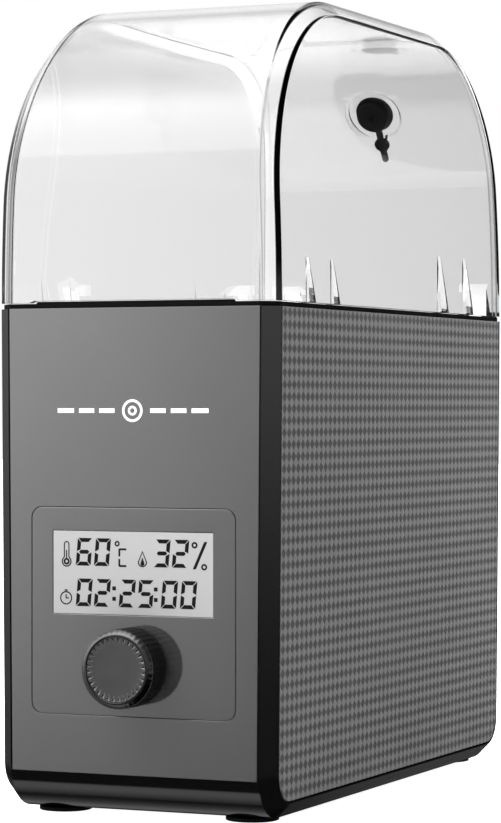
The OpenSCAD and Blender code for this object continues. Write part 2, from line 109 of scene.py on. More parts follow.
class Nodes:
    """Short calls for building a node tree."""

    def __init__(self, tree):
        self.tree = tree

    def add(self, kind, inputs=None, **settings):
        node = self.tree.nodes.new(kind)
        for key, value in settings.items():
            setattr(node, key, value)
        for key, value in (inputs or {}).items():
            self.set(node.inputs[key], value)
        return node

    def set(self, socket, value):
        if isinstance(value, bpy.types.NodeSocket):
            self.tree.links.new(value, socket)
        else:
            socket.default_value = value

    def math(self, operation, *values):
        node = self.add("ShaderNodeMath", operation=operation)
        for socket, value in zip(node.inputs, values):
            self.set(socket, value)
        return node.outputs[0]

    def times(self, *values):
        """Product of two or more values."""
        product = values[0]
        for value in values[1:]:
            product = self.math("MULTIPLY", product, value)
        return product

    def spread(self, value, low, high, out_low, out_high):
        """Maps low..high to out_low..out_high, and holds the ends."""
        node = self.add("ShaderNodeMapRange", {0: value, 1: low, 2: high, 3: out_low, 4: out_high})
        return node.outputs[0]

    def smooth_step(self, angle, edge, soft, before, after):
        """Turns smoothly from one level to another round an edge, in degrees."""
        inputs = {0: angle, 1: math.radians(edge - soft), 2: math.radians(edge + soft), 3: before, 4: after}
        return self.add("ShaderNodeMapRange", inputs, interpolation_type="SMOOTHSTEP").outputs[0]

    def window(self, angle, low, high, soft, soft_high=None):
        """1 between two angles in degrees, 0 outside them, with soft edges."""
        rise = self.smooth_step(angle, low, soft, 0.0, 1.0)
        fall = self.smooth_step(angle, high, soft_high or soft, 1.0, 0.0)
        return self.times(rise, fall)

    def mix(self, factor, first, second):
        node = self.add("ShaderNodeMix", data_type="RGBA")
        self.set(node.inputs["Factor"], factor)
        self.set(node.inputs[6], first)
        self.set(node.inputs[7], second)
        return node.outputs[2]


class Finish(Nodes):
    """A node material built round one Principled shader."""

    def __init__(self, name, **shader_values):
        self.material = bpy.data.materials.new(name)
        self.material.use_nodes = True
        super().__init__(self.material.node_tree)
        self.shader = self.tree.nodes["Principled BSDF"]
        for socket, value in shader_values.items():
            self.shader.inputs[socket.replace("_", " ")].default_value = value
        self.place = self.add("ShaderNodeTexCoord").outputs["Object"]

    def stretched(self, scale):
        return self.add("ShaderNodeMapping", {"Vector": self.place, "Scale": scale}).outputs[0]

    def noise(self, scale, detail=3.0, place=None):
        inputs = {"Vector": place or self.place, "Scale": scale, "Detail": detail}
        return self.add("ShaderNodeTexNoise", inputs).outputs["Fac"]

    def colour(self, value):
        self.set(self.shader.inputs["Base Color"], value)

    def roughness(self, value):
        self.set(self.shader.inputs["Roughness"], value)

    def bump(self, height, depth, strength=1.0):
        inputs = {"Height": height, "Distance": depth, "Strength": strength}
        self.set(self.shader.inputs["Normal"], self.add("ShaderNodeBump", inputs).outputs[0])


def grey(level, tint=(1, 1, 1)):
    return (level * tint[0], level * tint[1], level * tint[2], 1)


def shade(colour, factor):
    return (colour[0] * factor, colour[1] * factor, colour[2] * factor, 1)


def moulded(name, colour, roughness, grain=1400, grain_depth=0.02 * mm, wear=0.06, **shader_values):
    """Moulded plastic or rubber: a fine grain, slow changes of tone, and handling marks in the gloss."""
    finish = Finish(name, **shader_values)
    slow = finish.noise(24)
    marks = finish.noise(160, detail=6, place=finish.stretched((1, 1, 0.3)))
    finish.colour(finish.mix(slow, shade(colour, 0.9), shade(colour, 1.1)))
    finish.roughness(finish.spread(marks, 0.35, 0.7, roughness - wear, roughness + wear))
    finish.bump(finish.noise(grain, detail=2), grain_depth)
    return finish.material


def brushed(name, colour, roughness, along, **shader_values):
    """Metal with a drawn or brushed grain along one axis (0, 1 or 2)."""
    finish = Finish(name, Metallic=1.0, **shader_values)
    scale = [1.0, 1.0, 1.0]
    scale[along] = 0.03
    lines = finish.noise(2600, detail=4, place=finish.stretched(scale))
    stains = finish.noise(45)
    finish.colour(finish.mix(stains, shade(colour, 0.82), shade(colour, 1.05)))
    finish.roughness(finish.spread(lines, 0.3, 0.7, roughness * 0.7, roughness * 1.3))
    finish.bump(lines, 0.008 * mm)
    return finish.material


def gloss_black():
    finish = Finish("gloss_black_plastic", IOR=1.55)
    dust = finish.noise(700, detail=5)
    haze = finish.noise(30)
    finish.colour(finish.mix(finish.spread(dust, 0.68, 0.8, 0, 0.4), grey(0.0018), grey(0.012)))
    finish.roughness(finish.spread(haze, 0.3, 0.7, 0.04, 0.08))
    finish.bump(finish.noise(90), 0.002 * mm)
    return finish.material


def front_grey():
    """Grey metallic lacquer that mirrors the room softly, over a little plain grey."""
    finish = Finish("grey_metallic_lacquer", Metallic=0.93)
    flakes = finish.noise(5200, detail=1)
    slow = finish.noise(18)
    tone = finish.math("ADD", finish.times(flakes, 0.5), finish.times(slow, 0.5))
    finish.colour(finish.mix(tone, grey(0.278), grey(0.345, (1, 1.0, 1.01))))
    finish.roughness(finish.spread(finish.noise(60), 0.3, 0.7, 0.05, 0.08))
    finish.bump(flakes, 0.0015 * mm)
    return finish.material


def knob_finish(name, black, painted_highlight_grey, painted_highlight_mask):
    """Black plastic with a painted highlight: bright grey metal, where the given mask says, stands in for the
    highlights on the black plastic. The mask is called with (finish, x, y, z).
    """
    finish = Finish(name, Specular_IOR_Level=0.15)
    # Mask of the painted highlight: there grey metal stands in for highlights on the black plastic
    mask = painted_highlight_mask(finish, *finish.add("ShaderNodeSeparateXYZ", {0: finish.place}).outputs)
    speck = finish.noise(2400, detail=2)
    slow = finish.noise(160)
    dark_tone = finish.mix(slow, shade(black, 0.8), shade(black, 1.2))
    # Tone of the painted highlight
    painted_highlight_tone = finish.mix(speck, shade(painted_highlight_grey, 0.85), shade(painted_highlight_grey, 1.15))
    finish.colour(finish.mix(mask, dark_tone, painted_highlight_tone))
    finish.set(finish.shader.inputs["Metallic"], mask)
    gloss = finish.spread(mask, 0, 1, 0.45, 0.2)
    finish.roughness(finish.math("ADD", gloss, finish.times(slow, 0.1)))
    finish.bump(speck, 0.003 * mm)
    return finish.material


def knob_bevel_painted_highlight(finish, _x, y, _z):
    """Where the bevel round the knob's front gets its painted highlight."""
    bevel_y = KNOB_FRONT_Y + 1.3 * mm
    return finish.spread(y, bevel_y - 0.1 * mm, bevel_y + 0.1 * mm, 1, 0)


def cap_teeth_painted_highlight(finish, x, _y, z):
    """Painted highlights: bright triangles round the cap that point inwards, on the grooves between its
    teeth.
    """
    up = finish.math("SUBTRACT", z, KNOB_Z)
    radius = finish.math("SQRT", finish.math("ADD", finish.times(x, x), finish.times(up, up)))
    turns = finish.times(finish.math("ARCTAN2", up, x), CAP_TEETH / math.tau)
    between = finish.math("PINGPONG", finish.times(turns, 2), 1)
    reach = finish.spread(radius, CAP_TEETH_R - CAP_TEETH_L, CAP_TEETH_R, 0, CAP_TEETH_FILL)
    tooth = finish.math("SUBTRACT", reach, finish.math("SUBTRACT", 1, between))
    inside = finish.math("LESS_THAN", radius, CAP_TEETH_R + 0.1 * mm)
    return finish.times(finish.spread(tooth, 0, 0.12, 0, 1), inside)


def woven_grey():
    """Two greys in a diamond weave, with strands across each diamond. The lighter grey on the raised diamonds
    and the darker grey in the hollows between them are partly the weave's own two-tone pattern and partly
    painted shade.
    """
    finish = Finish("woven_grey_plastic")
    parts = finish.add("ShaderNodeSeparateXYZ", {0: finish.place})
    along = finish.times(finish.math("SUBTRACT", parts.outputs[1], MID_Y), math.tau / WEAVE)
    up = finish.times(finish.math("SUBTRACT", parts.outputs[2], RIM_Z), math.tau / WEAVE)
    wave = finish.math("ADD", finish.math("COSINE", along), finish.math("COSINE", up))
    # Lighter on the raised diamonds, darker in the hollows: partly the weave's pattern, partly painted shade
    light = finish.spread(wave, -0.45, 0.45, 0, 1)
    strands = finish.noise(5000, detail=2, place=finish.stretched((1, 1, 0.15)))
    slow = finish.noise(14)
    tone = finish.math("ADD", finish.times(strands, 0.7), finish.times(slow, 0.3))
    dark_tone = finish.mix(tone, grey(0.025), grey(0.05))
    light_tone = finish.mix(tone, grey(0.074), grey(0.12))
    finish.colour(finish.mix(light, dark_tone, light_tone))
    finish.roughness(finish.spread(light, 0, 1, 0.5, 0.36))
    finish.bump(strands, 0.02 * mm)
    return finish.material


def clear_plastic():
    """Clear lid plastic. Light from the lamps passes straight through it to what it covers."""
    finish = Finish("clear_lid_plastic", IOR=1.43, Transmission_Weight=1.0)
    scuffs = finish.noise(220, detail=8, place=finish.stretched((1, 0.4, 1)))
    finish.shader.inputs["Base Color"].default_value = grey(0.972)
    finish.roughness(finish.spread(scuffs, 0.45, 0.75, 0.0, 0.004))
    lamps = finish.add("ShaderNodeLightPath").outputs["Is Shadow Ray"]
    through = finish.add("ShaderNodeBsdfTransparent", {"Color": grey(0.93)})
    mix = finish.add("ShaderNodeMixShader", {0: lamps})
    finish.tree.links.new(finish.shader.outputs[0], mix.inputs[1])
    finish.tree.links.new(through.outputs[0], mix.inputs[2])
    finish.tree.links.new(mix.outputs[0], finish.tree.nodes["Material Output"].inputs["Surface"])
    return finish.material


def display_grey():
    """Reflective display behind a flat cover, a little lighter at the top."""
    finish = Finish("display_grey", Coat_Weight=0.6, Coat_Roughness=0.08)
    height = finish.add("ShaderNodeSeparateXYZ", {0: finish.place}).outputs[2]
    half_h = 15 * mm
    rise = finish.spread(height, LCD_Z - half_h, LCD_Z + half_h, 0, 1)
    cells = finish.noise(3800, detail=1)
    tone = finish.math("ADD", finish.times(cells, 0.25), finish.times(rise, 0.75))
    finish.colour(finish.mix(tone, grey(0.25), grey(0.285, (1, 1.005, 0.995))))
    finish.roughness(finish.spread(cells, 0.3, 0.7, 0.35, 0.5))
    return finish.material


def board_green():
    """Solder mask over copper tracks."""
    finish = Finish("circuit_board", Coat_Weight=0.4)
    upright = {"Vector": finish.place, "Rotation": (math.radians(90), 0, 0)}
    board = finish.add("ShaderNodeMapping", upright).outputs[0]
    bricks = {"Vector": board, "Scale": 260.0, "Mortar Size": 0.06}
    tracks = finish.add("ShaderNodeTexBrick", bricks).outputs["Fac"]
    slow = finish.noise(60)
    green = finish.mix(slow, (0.008, 0.06, 0.02, 1), (0.015, 0.1, 0.035, 1))
    finish.colour(finish.mix(tracks, green, (0.03, 0.17, 0.06, 1)))
    finish.roughness(finish.spread(slow, 0.3, 0.7, 0.25, 0.4))
    finish.bump(tracks, 0.03 * mm)
    return finish.material


def film_amber():
    """Polyimide film over a winding heater track."""
    finish = Finish("heater_film_amber", Coat_Weight=0.5)
    bands = {"Vector": finish.place, "Scale": 55.0, "Distortion": 0.0}
    waves = finish.add("ShaderNodeTexWave", bands, bands_direction="Y").outputs["Fac"]
    track = finish.spread(waves, 0.45, 0.6, 0, 1)
    finish.colour(finish.mix(track, (0.42, 0.13, 0.015, 1), (0.2, 0.06, 0.012, 1)))
    finish.roughness(finish.spread(finish.noise(300), 0.3, 0.7, 0.22, 0.4))
    finish.bump(track, 0.05 * mm)
    return finish.material


FINISHES = {
    "gloss_black": gloss_black(),
    "satin_grey": front_grey(),
    "woven_grey": woven_grey(),
    "clear_plastic": clear_plastic(),
    "black_silicone": moulded("black_silicone", grey(0.003), 0.7, grain=900, Specular_IOR_Level=0.1),
    # grey(0.15) on the knob's bevel and grey(0.24) on its cap's teeth are painted highlights
    "matte_black": knob_finish("knob_black", grey(0.004), grey(0.15), knob_bevel_painted_highlight),
    "knob_cap_black": knob_finish("knob_cap_black", grey(0.032), grey(0.24), cap_teeth_painted_highlight),
    "liner_grey": moulded("liner_grey_plastic", grey(0.06, (1, 1, 1.04)), 0.55, grain=700,
                          grain_depth=0.04 * mm),
    "display_grey": display_grey(),
    "display_white": moulded("display_frame_white", grey(0.7), 0.45),
    "board_green": board_green(),
    "steel": brushed("nickel_steel", grey(0.62), 0.28, along=0),
    "encoder_grey": moulded("encoder_housing", grey(0.09, (0.95, 1, 1.08)), 0.45),
    "slider_tan": moulded("slider_tan", (0.55, 0.44, 0.24, 1), 0.5),
    "aluminium": brushed("drawn_aluminium", grey(0.78, (1, 1, 1.01)), 0.36, along=0),
    "film_amber": film_amber(),
    "wire_white": moulded("white_wire_sleeve", grey(0.75), 0.4),
    "wire_red": moulded("red_wire_sleeve", (0.45, 0.02, 0.02, 1), 0.4),
    "ceramic": moulded("fuse_ceramic", (0.68, 0.62, 0.5, 1), 0.7, grain=2500),
    "bush_white": moulded("bush_acetal", grey(0.74, (1, 0.99, 0.96)), 0.35),
}
NODE_SLOTS = {part["node"]: part["material_slot"] for part in frame["record"]["subparts"]}
NODE_BODIES = {node: body for body, nodes in frame["record"]["behaviour"]["bodies"].items() for node in nodes}

for node_name, node_object in frame["nodes"].items():
    node_object.data.materials.clear()
    node_object.data.materials.append(FINISHES[NODE_SLOTS[node_name]])


# ---- Mesh helpers ----

def finish_piece(piece, body, slot, replaced=(), smooth_angle=30):
    """Puts a finished mesh object in the scene with its material, shading and place in the frame's table."""
    mesh = piece.data
    mesh.materials.clear()
    mesh.materials.append(FINISHES[slot])
    mesh.polygons.foreach_set("material_index", [0] * len(mesh.polygons))
    mesh.shade_smooth()
    mesh.set_sharp_from_angle(angle=math.radians(smooth_angle))
    if piece.name not in bpy.context.scene.collection.objects:
        bpy.context.scene.collection.objects.link(piece)
    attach(piece, body)
    if replaced:
        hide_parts(*replaced)
    return piece


def mesh_object(name, bm):
    bmesh.ops.recalc_face_normals(bm, faces=bm.faces)
    mesh = bpy.data.meshes.new(name)
    bm.to_mesh(mesh)
    bm.free()
    return bpy.data.objects.new(name, mesh)


def applied(piece, *modifiers):
    """Applies modifiers, given as (kind, settings), and returns the piece with the resulting mesh."""
    scene_objects = bpy.context.scene.collection.objects
    if piece.name not in scene_objects:
        scene_objects.link(piece)
    for kind, settings in modifiers:
        modifier = piece.modifiers.new(kind.lower(), kind)
        for key, value in settings.items():
            setattr(modifier, key, value)
    graph = bpy.context.evaluated_depsgraph_get()
    mesh = bpy.data.meshes.new_from_object(piece.evaluated_get(graph))
    piece.modifiers.clear()
    piece.data = mesh
    return piece


def softened(node, width, segments=2, angle=28):
    """A CAD node's shape with its sharp edges rounded, standing for that node."""
    bm = bmesh.new()
    bm.from_mesh(frame["nodes"][node].data)
    bmesh.ops.remove_doubles(bm, verts=bm.verts, dist=0.002 * mm)
    bmesh.ops.dissolve_limit(bm, angle_limit=math.radians(0.8), verts=bm.verts, edges=bm.edges)
    piece = applied(mesh_object(node + "_shape", bm), (
        "BEVEL", {"width": width, "segments": segments, "limit_method": "ANGLE",
                  "angle_limit": math.radians(angle), "use_clamp_overlap": True,
                  "miter_outer": "MITER_ARC"}))
    finish_piece(piece, NODE_BODIES[node], NODE_SLOTS[node], [node], smooth_angle=50)
    return applied(piece, ("WEIGHTED_NORMAL", {"keep_sharp": True}))


def fillet(before, corner, after, radius, steps=4):
    """Points of an arc that rounds the corner of a path in the plane."""
    towards = (Vector(before) - Vector(corner)).normalized()
    away = (Vector(after) - Vector(corner)).normalized()
    half = towards.angle(away) / 2
    centre = Vector(corner) + (towards + away).normalized() * (radius / math.sin(half))
    start = Vector(corner) + towards * (radius / math.tan(half)) - centre
    end = Vector(corner) + away * (radius / math.tan(half)) - centre
    turn = start.angle_signed(end)
    return [centre + Matrix.Rotation(-turn * k / steps, 2) @ start for k in range(steps + 1)]


def rounded_path(points, radius, steps=4):
    """A path in the plane with every inner corner rounded."""
    path = [Vector(points[0])]
    for before, corner, after in zip(points, points[1:], points[2:]):
        reach = min((Vector(before) - Vector(corner)).length, (Vector(after) - Vector(corner)).length)
        path += fillet(before, corner, after, min(radius, reach * 0.4), steps)
    return path + [Vector(points[-1])]


def lathed(profile, place, segments=96, ripple=None):
    """A closed turned solid. profile is (radius, height) points from the axis back to the axis.

    ripple(angle, radius, height) may change a point's radius and height.
    """
    bm = bmesh.new()
    rings = []
    for radius, height in profile:
        if radius < 1e-7:
            rings.append([bm.verts.new(place @ Vector((0, 0, height)))])
            continue
        ring = []
        for k in range(segments):
            angle = math.tau * k / segments
            r, h = ripple(angle, radius, height) if ripple else (radius, height)
            ring.append(bm.verts.new(place @ Vector((r * math.cos(angle), r * math.sin(angle), h))))
        rings.append(ring)
    join_rings(bm, rings)
    return bm


def circle(radius, count):
    """Points of a circle round the origin, anticlockwise."""
    angles = [math.tau * k / count for k in range(count)]
    return [(radius * math.cos(a), radius * math.sin(a)) for a in angles]


def in_mm(points):
    """Points of the plane given in millimetres."""
    return [(a * mm, b * mm) for a, b in points]


def strip_faces(bm, lines):
    """Four-cornered faces between lines of points that lie side by side."""
    for first, second in zip(lines, lines[1:]):
        for corners in zip(first, first[1:], second[1:], second):
            bm.faces.new(corners)


def join_rings(bm, rings):
    """Faces between rings that follow each other. A ring of one point closes an end."""
    for low, high in zip(rings, rings[1:]):
        count = max(len(low), len(high))
        for k in range(count):
            n = (k + 1) % count
            corners = [low[k % len(low)], low[n % len(low)], high[n % len(high)], high[k % len(high)]]
            corners = [v for i, v in enumerate(corners) if v not in corners[:i]]
            if len(corners) > 2:
                bm.faces.new(corners)


def prism(bm, outline, depth, place):
    """A straight solid on an outline of (x, y) points."""
    low = [bm.verts.new(place @ Vector((x, y, 0))) for x, y in outline]
    high = [bm.verts.new(place @ Vector((x, y, depth))) for x, y in outline]
    bm.faces.new(low[::-1])
    bm.faces.new(high)
    join_rings(bm, [low, high])


# ---- Camera, floor and light ----

def make_camera():
    """The photographed view: level, from the front right, with a long lens."""
    data = bpy.data.cameras.new("camera")
    camera = bpy.data.objects.new("camera", data)
    bpy.context.scene.collection.objects.link(camera)
    camera.location = (478 * mm, MID_Y - 1102.5 * mm, 147.5 * mm)
    camera.rotation_euler = (math.radians(89.88), 0, math.radians(23.503))
    data.sensor_width = 36
    data.lens = 135.56
    data.shift_x = -0.0169
    data.shift_y = -0.0032
    data.clip_end = 50
    bpy.context.scene.camera = camera


def make_floor():
    bm = bmesh.new()
    bmesh.ops.create_grid(bm, x_segments=2, y_segments=2, size=6)
    floor = mesh_object("floor", bm)
    finish = Finish("pale_floor", Roughness=0.9)
    finish.colour(finish.mix(finish.noise(3), grey(0.86), grey(0.9)))
    finish.shader.inputs["Emission Color"].default_value = grey(1)
    finish.shader.inputs["Emission Strength"].default_value = 1.0
    floor.data.materials.append(finish.material)
    floor.visible_glossy = False
    bpy.context.scene.collection.objects.link(floor)


# Brightness of the studio's walls by elevation in degrees
HORIZON = ((-90, 0), (-20, 0.015), (-12, 0.08), (-6.8, 0.34), (-2.5, 0.62), (2, 0.92), (25, 1), (35, 0.6),
           (90, 0.4))

# Brightness of its floor by the angle below the front horizon, measured round the X axis: a bright floor
# ahead, and the box's own shadow below it
FLOOR_AHEAD = ((-150, 0), (-140, 0.32), (-126, 0.42), (-91, 0.03), (-77, 0.5), (-65, 0.97), (-56, 1.02),
               (-52, 0.72), (-50.5, 0))


def level_ramp(nodes, angle, levels, half_range):
    """Looks a brightness up in a list of (angle in degrees, level)."""
    limit = math.radians(half_range)
    ramp = nodes.add("ShaderNodeValToRGB", {0: nodes.spread(angle, -limit, limit, 0, 1)})
    for degrees, level in levels:
        element = ramp.color_ramp.elements.new(degrees / (2 * half_range) + 0.5)
        element.color = grey(level)
    ramp.color_ramp.elements.remove(ramp.color_ramp.elements[0])
    ramp.color_ramp.elements.remove(ramp.color_ramp.elements[-1])
    return ramp.outputs[0]


def studio_angles(nodes):
    """A ray's direction as angles: from the front, from the rear, up, and up over the X axis from the
    front horizon. x is the direction's own share to the right."""
    direction = nodes.add("ShaderNodeTexCoord").outputs["Generated"]
    x, y, z = nodes.add("ShaderNodeSeparateXYZ", {0: direction}).outputs
    forwards = nodes.times(y, -1)
    return {
        "azimuth": nodes.math("ARCTAN2", x, forwards),
        "rear": nodes.math("ARCTAN2", x, y),
        "elevation": nodes.math("ARCSINE", z),
        "overhead": nodes.math("ARCTAN2", z, forwards),
        "x": x,
    }


def lit_walls(nodes, angles):
    """1 where the studio's walls are lit: on the left, on the right above the floor, and behind."""
    left = nodes.window(angles["azimuth"], -115, -25, 6)
    above_floor = nodes.smooth_step(angles["elevation"], -3, 4, 0.0, 1.0)
    right = nodes.times(nodes.window(angles["azimuth"], 50, 85, 8), above_floor)
    behind = nodes.window(angles["rear"], -50, -8, 6)
    return nodes.math("MAXIMUM", nodes.math("MAXIMUM", left, right), behind)


def dark_walls(nodes, angles):
    """1 where the studio is dark: behind on the right, and high up on the whole right side."""
    high = nodes.times(nodes.window(angles["rear"], 8, 132, 6), nodes.window(angles["elevation"], 3, 100, 1))
    return nodes.math("MAXIMUM", high, nodes.window(angles["rear"], 8, 40, 6))


def open_room(nodes, angles, dark):
    """The studio as the object's outer faces reflect it."""
    unlit, black = 0.27, 0.06
    lit = nodes.spread(lit_walls(nodes, angles), 0, 1, unlit, 1)
    walls = nodes.times(lit, nodes.spread(dark, 0, 1, 1, black))
    room = nodes.times(level_ramp(nodes, angles["elevation"], HORIZON, 90), walls)
    on_the_left = nodes.spread(angles["x"], -0.25, -0.05, 1, 0)
    floor_ahead = nodes.times(level_ramp(nodes, angles["overhead"], FLOOR_AHEAD, 180), on_the_left)
    below_horizon = nodes.window(angles["elevation"], -22.5, 0, 2)
    floor_behind = nodes.times(nodes.window(angles["rear"], -25, 25, 5), below_horizon, 0.08)
    strip_place = nodes.times(nodes.window(angles["overhead"], 31, 72, 1.5, 12),
                              nodes.window(angles["azimuth"], -150, 20, 15))
    strip_level = nodes.spread(angles["overhead"], math.radians(31), math.radians(60), 1.3, 2.8)
    for light in (floor_ahead, floor_behind, nodes.times(strip_place, strip_level)):
        room = nodes.math("ADD", room, light)
    return room


def enclosed_room(nodes, angles, dark):
    """What light meets after it bounced inside the lid: plain pale walls, darker ahead and below."""
    ahead = nodes.window(angles["azimuth"], -140, -5, 10)
    shade = nodes.math("MAXIMUM", dark, nodes.times(ahead, 0.85))
    below = nodes.smooth_step(angles["elevation"], -1, 1, 0.6, 1.0)
    return nodes.times(nodes.spread(shade, 0, 1, 0.85, 0.1), below)


def straight_view(nodes, angles, enclosed):
    """White, and a little less where two walls of the lid bent the view aside or upwards."""
    bent = nodes.math("SUBTRACT", 1, nodes.window(angles["rear"], -33, -14, 2))
    high = nodes.spread(angles["elevation"], math.radians(5.9), math.radians(6.4), 0, 0.15)
    loss = nodes.times(enclosed, nodes.math("MAXIMUM", nodes.times(bent, 0.45), high))
    return nodes.math("SUBTRACT", 1, loss)


def make_world():
    """White where the eye looks straight at it, also through the lid. Reflections see a studio instead:
    a bright horizon that fades towards the floor, a strip light overhead, and dark walls on the right."""
    world = bpy.data.worlds.new("studio")
    bpy.context.scene.world = world
    world.use_nodes = True
    world.cycles.sampling_method = "NONE"
    nodes = Nodes(world.node_tree)
    angles = studio_angles(nodes)
    dark = dark_walls(nodes, angles)
    path = nodes.add("ShaderNodeLightPath").outputs
    bounces = nodes.math("ADD", path["Diffuse Depth"], path["Glossy Depth"])
    bounced = nodes.math("GREATER_THAN", bounces, 0.5)
    enclosed = nodes.math("GREATER_THAN", path["Transmission Depth"], 2.5)
    room = nodes.mix(enclosed, open_room(nodes, angles, dark), enclosed_room(nodes, angles, dark))
    seen = nodes.mix(bounced, straight_view(nodes, angles, enclosed), room)
    nodes.set(nodes.tree.nodes["Background"].inputs["Color"], seen)


def softbox(name, azimuth, elevation, distance, size, power):
    """An area lamp that faces the object. Azimuth 0 is in front, and 90 is on the right."""
    data = bpy.data.lights.new(name, "AREA")
    data.shape = "RECTANGLE"
    data.size, data.size_y = size
    data.energy = power
    lamp = bpy.data.objects.new(name, data)
    a, e = math.radians(azimuth), math.radians(elevation)
    aim = Vector((0, MID_Y, 0.15))
    back = Vector((math.sin(a) * math.cos(e), -math.cos(a) * math.cos(e), math.sin(e)))
    lamp.location = aim + back * distance
    lamp.rotation_mode = "QUATERNION"
    lamp.rotation_quaternion = back.to_track_quat("Z", "Y")
    lamp.visible_camera = False
    lamp.visible_transmission = False
    lamp.visible_glossy = False
    bpy.context.scene.collection.objects.link(lamp)


make_camera()
make_floor()
make_world()
softbox("key_front_left", -38, 48, 1.5, (1.0, 0.7), 26)
softbox("fill_right", 150, 20, 0.75, (0.4, 0.5), 12)
softbox("top_rear", 150, 70, 1.4, (0.9, 0.6), 12)
bpy.context.scene.view_settings.view_transform = "Standard"


# ---- Lid ----

def lid_half_width(z):
    return HALF_W - max(z - LID_Z, 0) ** 2 / (2 * BULGE_R)


def lid_side_view(inset, straight_steps=6, arc_steps=30):
    """(y, z) points up the front of the lid and, in step with them, up its rear."""
    front, rear = [], []
    for points, centre_y, radius, sign in ((front, FRONT_Y + FRONT_R, FRONT_R, -1),
                                           (rear, REAR_Y - REAR_R, REAR_R, 1)):
        centre_z = TOP_Z - radius
        reach = sign * (radius - inset)
        for k in range(straight_steps):
            points.append((centre_y + reach, LID_Z + (centre_z - LID_Z) * k / straight_steps))
        for k in range(arc_steps + 1):
            a = math.radians(90) * k / arc_steps
            points.append((centre_y + reach * math.cos(a), centre_z + (radius - inset) * math.sin(a)))
    return front, rear


def lid_edge_loops(bm, pairs):
    """Loops over the lid that follow its rounded chamfers, by side and by (depth, inset) pair."""
    loops = {}
    for side in (-1, 1):
        for i, (depth, inset) in enumerate(pairs):
            front, rear = lid_side_view(inset)
            loops[side, i] = [bm.verts.new((side * (lid_half_width(z) - depth), y, z))
                              for y, z in front + rear[::-1]]
        strip_faces(bm, [loops[side, i] for i in range(len(pairs))])
    return loops


def lid_band(bm, wall, left, right):
    """The arched band between the two chamfers, with a shallow notch in its front edge."""
    columns = [left]
    front, rear = lid_side_view(wall)
    notch_half = 40
    for x in (-notch_half - 1, 1 - notch_half, -26, -13, 0, 13, 26, notch_half - 1, notch_half + 1):
        column = []
        for k, (y, z) in enumerate(front + rear[::-1]):
            raised = LID_NOTCH if k == 0 and abs(x) < notch_half else 0
            column.append(bm.verts.new((x * mm, y, z + raised)))
        columns.append(column)
    columns.append(right)
    strip_faces(bm, columns)
    return columns


def lid_side_wall(bm, side, loop, depth, columns=24):
    """A slightly bulged side wall inside its loop. Returns its lowest row."""
    rows = []
    for k in range(len(loop) // 2):
        start, end = loop[k].co, loop[-1 - k].co
        row = [loop[k]]
        for j in range(1, columns):
            y = start.y + (end.y - start.y) * j / columns
            z = start.z + (end.z - start.z) * j / columns
            row.append(bm.verts.new((side * (lid_half_width(z) - depth), y, z)))
        rows.append(row + [loop[-1 - k]])
    strip_faces(bm, rows)
    return rows[0]


def lid_skin(bm, wall, cut):
    """One skin of the lid: its side walls, chamfers and arched band. Returns its low edge as a loop."""
    run = 2 * mm
    pairs = rounded_path([(cut + wall + run, wall), (cut + wall, wall), (wall, cut + wall),
                          (wall, cut + wall + run)], LID_EDGE_R)
    last = len(pairs) - 1
    loops = lid_edge_loops(bm, pairs)
    columns = lid_band(bm, wall, loops[-1, 0], loops[1, 0])
    feet = {side: lid_side_wall(bm, side, loops[side, last], pairs[last][0]) for side in (-1, 1)}
    edge = [loops[-1, i][0] for i in range(last, 0, -1)]
    edge += [column[0] for column in columns]
    edge += [loops[1, i][0] for i in range(1, last)]
    edge += feet[1]
    edge += [loops[1, i][-1] for i in range(last - 1, 0, -1)]
    edge += [column[-1] for column in reversed(columns)]
    edge += [loops[-1, i][-1] for i in range(1, last)]
    edge += feet[-1][::-1]
    return edge[:-1]


def port_place():
    """Frame of the filament port: z out of the rear arch and y down along it."""
    y = REAR_Y - REAR_R + REAR_R * math.cos(PORT_ANGLE)
    z = TOP_Z - REAR_R + REAR_R * math.sin(PORT_ANGLE)
    return Matrix.Translation((0, y, z)) @ Matrix.Rotation(PORT_ANGLE - math.radians(90), 4, "X")


def guide_rib(bm, side, y, size):
    """Leaning rib inside a side wall that thins out upwards. It is shallower on the left wall."""
    face = HALF_W - LID_WALL
    root = face + 0.6 * mm
    depth = mm if side > 0 else LEFT_RIB_DEPTH * mm
    scale = size * mm
    # Height, reach into the lid, and where the section starts and how long it is along the wall
    foot = (LID_Z, 2 * size * depth, y, 8.4 * scale)
    tip = (LID_Z + 22 * scale, 0.4 * depth, y - 4 * scale, 3.4 * scale)
    rings = []
    for z, reach, start, length in (foot, tip):
        end = start + length
        corners = ((face - reach, start), (root, start), (root, end), (face - reach, end))
        rings.append([bm.verts.new((side * x, along, z)) for x, along in corners])
    bm.faces.new(rings[0])
    bm.faces.new(rings[1][::-1])
    join_rings(bm, rings)


def rod_x(bm, x, y, z, radius, length):
    """A round rod along the X axis from x."""
    place = Matrix.Translation((x, y, z)) @ Matrix.Rotation(math.radians(90), 4, "Y")
    prism(bm, circle(radius, 32), length, place)


def lid_additions():
    """What stands on the lid's inner skin: the port's boss and the guide ribs."""
    bm = bmesh.new()
    boss_l = 2 * mm
    boss_base = -3.6 * mm
    prism(bm, circle(PORT_BOSS_R, 64), boss_l, port_place() @ Matrix.Translation((0, 0, boss_base)))
    for side in (-1, 1):
        for y, size in GUIDE_RIBS:
            guide_rib(bm, side, MID_Y + y * mm, size)
    return mesh_object("lid_additions", bm)


